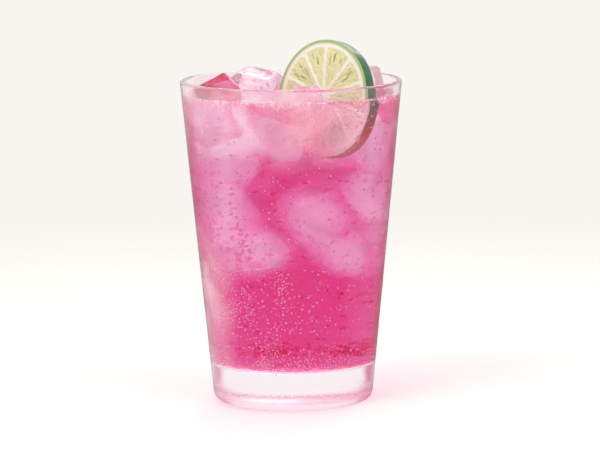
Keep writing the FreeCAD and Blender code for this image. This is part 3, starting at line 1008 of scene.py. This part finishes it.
class DRINK_OT_bubbles(bpy.types.Operator):
    """Make the bubbles on the wall, the froth at the level and the fine dew on the outside"""

    bl_idname = "drink.bubbles"
    bl_label = "Bubbles, froth and dew"

    def execute(self, context):
        settings = context.scene.drink_bubbles
        level, base = drink_level(), context.scene.drink_tumbler.base
        tree = scatter_tree()
        patch = wall_patch(inner_radius, base + 1.5 * MM, level - 1.0 * MM, bubble_crowd, True)
        mesh = strew(patch, tree, {
            "Density": settings.density, "Smallest": settings.smallest, "Largest": settings.largest,
            "Rarity": 1.4, "Flatness": 1.0, "Lift": 1.05, "Seed": settings.seed, "Sides": 6, "Rings": 5,
            "Material": gas_bubble(),
        })
        new_object("bubbles", mesh, None)
        patch = wall_patch(inner_radius, level - FROTH_BAND, level + FROTH_BAND, froth_crowd, True)
        mesh = strew(patch, tree, {
            "Density": settings.froth_density, "Smallest": settings.froth / 3.2, "Largest": settings.froth,
            "Rarity": 1.8, "Flatness": 1.0, "Lift": 0.8, "Seed": settings.seed + 2, "Sides": 6, "Rings": 4,
            "Material": soda_froth(),
        })
        new_object("froth", mesh, None)
        patch = wall_patch(outer_radius, *DEW_BAND, dew_crowd, False)
        mesh = strew(patch, tree, {
            "Density": settings.dew_density, "Smallest": settings.dew / 2.4, "Largest": settings.dew,
            "Rarity": 2.2, "Flatness": 0.5, "Lift": 0.05, "Seed": settings.seed + 1, "Sides": 6, "Rings": 4,
            "Material": dew_drop(),
        })
        new_object("dew", mesh, None)
        return {"FINISHED"}


# ---- stage ---------------------------------------------------------------------------------------
LAMP_AIM = 0.07                             # height of the middle of the drink, in metres
FLOOR_RADIUS = 12.0                         # metres
# painted rose light round the tumbler, seen only through clear pieces
ROSE_SIDE = (0.6, 0.8)                      # |y| over the distance where rose turns back to white,
ROSE_SQUARE = (0.25, 0.42)                  # and where it starts
ROSE_FAR = (3.0, 4.0)                       # metres out on the floor over which rose ends
ROSE_NEAR = (0.15, 0.08)                    # and within these, under the drink, there is none
BACKDROP_FADE = (0.1, 0.6)                  # metres over which the table turns into the backdrop


def soft_lamp(name, place, size, watts):
    """Square soft lamp that looks at the middle of the drink."""
    light = bpy.data.lights.new(name, "AREA")
    light.size = size
    light.energy = watts
    lamp = bpy.data.objects.new(name, light)
    lamp.location = place
    middle = Vector((0, 0, LAMP_AIM))
    lamp.rotation_euler = (middle - lamp.location).to_track_quat("-Z", "Y").to_euler()
    bpy.context.scene.collection.objects.link(lamp)


def backlight(tree, place):
    """Colour seen through clear pieces: white on four sides, and rose between them.

    Rose is painted light that stands for what the drink throws round itself, and it gives the tumbler's edges
    a line of colour."""
    axes = add(tree, "ShaderNodeSeparateXYZ", {0: place})
    flat = add(tree, "ShaderNodeCombineXYZ", {0: axes.outputs[0], 1: axes.outputs[1]})
    way = add(tree, "ShaderNodeVectorMath", {0: flat.outputs[0]}, operation="NORMALIZE")
    parts = add(tree, "ShaderNodeSeparateXYZ", {0: way.outputs[0]})
    aside = add(tree, "ShaderNodeMath", {0: parts.outputs[1]}, operation="ABSOLUTE")
    side = add(tree, "ShaderNodeMapRange", {
        "Value": aside.outputs[0], "From Min": ROSE_SIDE[0], "From Max": ROSE_SIDE[1],
    }, interpolation_type="SMOOTHSTEP")
    far = add(tree, "ShaderNodeVectorMath", {0: flat.outputs[0]}, operation="LENGTH")
    away = far.outputs["Value"]
    beyond = add(tree, "ShaderNodeMapRange", {
        "Value": away, "From Min": ROSE_FAR[0], "From Max": ROSE_FAR[1],
    })
    under = add(tree, "ShaderNodeMapRange", {
        "Value": away, "From Min": ROSE_NEAR[0], "From Max": ROSE_NEAR[1],
    })
    clear = add(tree, "ShaderNodeMath", {0: beyond.outputs[0], 1: under.outputs[0]}, operation="MAXIMUM")
    square = add(tree, "ShaderNodeMapRange", {
        "Value": aside.outputs[0], "From Min": ROSE_SQUARE[0], "From Max": ROSE_SQUARE[1],
        "To Min": 1.0, "To Max": 0.0,
    }, interpolation_type="SMOOTHSTEP")
    level = add(tree, "ShaderNodeMath", {0: side.outputs[0], 1: square.outputs[0]}, operation="MAXIMUM")
    white = add(tree, "ShaderNodeMath", {0: level.outputs[0], 1: clear.outputs[0]}, operation="MAXIMUM")
    return add(tree, "ShaderNodeMix", {
        0: white.outputs[0], 6: (*hex_linear("#DE7C9B"), 1), 7: (1, 1, 1, 1),
    }, data_type="RGBA").outputs[2]


def studio(tree, shade):
    """World: pale to the eye, white through clear pieces, plain for the light, dimmer in mirrors.

    A refracted ray counts as glossy too, so the test for it comes after the one for mirrors."""
    path = add(tree, "ShaderNodeLightPath")
    dim = add(tree, "ShaderNodeMix", {0: path.outputs["Is Glossy Ray"], 2: 0.75, 3: 0.9})
    clear = add(tree, "ShaderNodeMix", {
        0: path.outputs["Is Transmission Ray"], 2: dim.outputs[0], 3: 1.0,
    })
    strength = add(tree, "ShaderNodeMix", {0: path.outputs["Is Camera Ray"], 2: clear.outputs[0], 3: 1.0})
    around = add(tree, "ShaderNodeTexCoord").outputs["Generated"]
    seen = add(tree, "ShaderNodeMix", {
        0: path.outputs["Is Transmission Ray"], 6: (1, 1, 1, 1), 7: backlight(tree, around),
    }, data_type="RGBA")
    tone = add(tree, "ShaderNodeMix", {
        0: path.outputs["Is Camera Ray"], 6: seen.outputs[2], 7: (*shade, 1),
    }, data_type="RGBA")
    sky = add(tree, "ShaderNodeBackground", {"Color": tone.outputs[2], "Strength": strength.outputs[0]})
    add(tree, "ShaderNodeOutputWorld", {"Surface": sky.outputs[0]})


def pale_table(shade):
    """Matt pale table that takes the shadow near the drink and fades into the backdrop further out."""
    material = bpy.data.materials.new("matt pale table")
    material.use_nodes = True
    tree = material.node_tree
    tree.nodes.clear()
    path = add(tree, "ShaderNodeLightPath")
    place = add(tree, "ShaderNodeTexCoord").outputs["Object"]
    far = add(tree, "ShaderNodeVectorMath", {0: place}, operation="LENGTH")
    fade = add(tree, "ShaderNodeMapRange", {
        "Value": far.outputs["Value"], "From Min": BACKDROP_FADE[0], "From Max": BACKDROP_FADE[1],
    }, interpolation_type="SMOOTHSTEP")
    matt = add(tree, "ShaderNodeBsdfDiffuse", {"Color": (*shade, 1)})
    backdrop = add(tree, "ShaderNodeEmission", {"Color": (*shade, 1), "Strength": 1.0})
    eye = add(tree, "ShaderNodeMixShader", {0: fade.outputs[0], 1: matt.outputs[0], 2: backdrop.outputs[0]})
    # painted dark reflection: in mirrors the table is a dim white glow
    dim = add(tree, "ShaderNodeEmission", {"Color": (1, 1, 1, 1), "Strength": 0.3})
    mirrored = add(tree, "ShaderNodeMixShader", {
        0: path.outputs["Is Glossy Ray"], 1: matt.outputs[0], 2: dim.outputs[0],
    })
    # through clear pieces the table glows white, with the painted rose light of backlight
    bright = add(tree, "ShaderNodeEmission", {"Color": backlight(tree, place), "Strength": 1.0})
    clear = add(tree, "ShaderNodeMixShader", {
        0: path.outputs["Is Transmission Ray"], 1: mirrored.outputs[0], 2: bright.outputs[0],
    })
    whole = add(tree, "ShaderNodeMixShader", {
        0: path.outputs["Is Camera Ray"], 1: clear.outputs[0], 2: eye.outputs[0],
    })
    add(tree, "ShaderNodeOutputMaterial", {"Surface": whole.outputs[0]})
    return material


class DRINK_OT_stage(bpy.types.Operator):
    """Set up the camera, the soft light and the pale floor"""

    bl_idname = "drink.stage"
    bl_label = "Stage"

    def execute(self, context):
        scene = context.scene
        stage = scene.drink_stage
        world = bpy.data.worlds.new("studio")
        scene.world = world
        world.use_nodes = True
        world.node_tree.nodes.clear()
        studio(world.node_tree, stage.floor)

        bm = bmesh.new()
        bmesh.ops.create_circle(bm, cap_ends=True, radius=FLOOR_RADIUS, segments=96)
        mesh = bpy.data.meshes.new("floor")
        bm.to_mesh(mesh)
        bm.free()
        floor = bpy.data.objects.new("floor", mesh)
        floor.location.z = -0.1 * MM
        scene.collection.objects.link(floor)
        mesh.materials.append(pale_table(stage.floor))

        soft_lamp("key", (-0.9, -0.9, 1.3), 0.8, 11.0)
        soft_lamp("fill", (1.1, -0.8, 0.9), 0.9, 6.0)
        soft_lamp("back", (0.3, 1.2, 1.1), 0.8, 6.0)

        lens = bpy.data.cameras.new("camera")
        lens.lens = stage.lens
        lens.sensor_width = 36.0
        lens.shift_x = stage.shift_x
        lens.shift_y = stage.shift_y
        lens.clip_end = 50.0
        camera = bpy.data.objects.new("camera", lens)
        aim = Vector((0, 0, stage.aim))
        back = Vector((0, -math.cos(stage.elevation), math.sin(stage.elevation)))
        turn = (-back).to_track_quat("-Z", "Y").to_matrix() @ Matrix.Rotation(-stage.roll, 3, "Z")
        camera.matrix_world = Matrix.Translation(aim + back * stage.distance) @ turn.to_4x4()
        scene.collection.objects.link(camera)
        scene.camera = camera
        scene.view_settings.view_transform = "Standard"
        scene.cycles.use_denoising = True
        scene.cycles.max_bounces = 32
        scene.cycles.transmission_bounces = 32
        scene.cycles.glossy_bounces = 8
        scene.cycles.transparent_max_bounces = 64
        return {"FINISHED"}


class DRINK_PT_panel(bpy.types.Panel):
    """Buttons that build each group of pieces"""

    bl_label = "Iced Drink"
    bl_idname = "DRINK_PT_panel"
    bl_space_type = "VIEW_3D"
    bl_region_type = "UI"
    bl_category = "Iced Drink"

    def draw(self, context):
        for operator in OPERATORS:
            self.layout.operator(operator.bl_idname)


SETTINGS = {
    "drink_tumbler": TumblerSettings,
    "drink_liquid": DrinkSettings,
    "drink_ice": IceSettings,
    "drink_lime": LimeSettings,
    "drink_bubbles": BubbleSettings,
    "drink_stage": StageSettings,
}
OPERATORS = (DRINK_OT_tumbler, DRINK_OT_ice, DRINK_OT_liquid, DRINK_OT_lime, DRINK_OT_bubbles, DRINK_OT_stage)


def register():
    """Registers the settings, the operators and the panel."""
    for name, settings in SETTINGS.items():
        bpy.utils.register_class(settings)
        setattr(bpy.types.Scene, name, PointerProperty(type=settings))
    for operator in OPERATORS:
        bpy.utils.register_class(operator)
    bpy.utils.register_class(DRINK_PT_panel)


def unregister():
    """Takes out what register put in, last first."""
    bpy.utils.unregister_class(DRINK_PT_panel)
    for operator in reversed(OPERATORS):
        bpy.utils.unregister_class(operator)
    for name, settings in reversed(SETTINGS.items()):
        delattr(bpy.types.Scene, name)
        bpy.utils.unregister_class(settings)


def main():
    """Builds every piece and the stage."""
    register()
    bpy.ops.drink.tumbler()
    bpy.ops.drink.ice()
    bpy.ops.drink.liquid()
    bpy.ops.drink.lime()
    bpy.ops.drink.bubbles()
    bpy.ops.drink.stage()


if __name__ == "__main__":
    main()
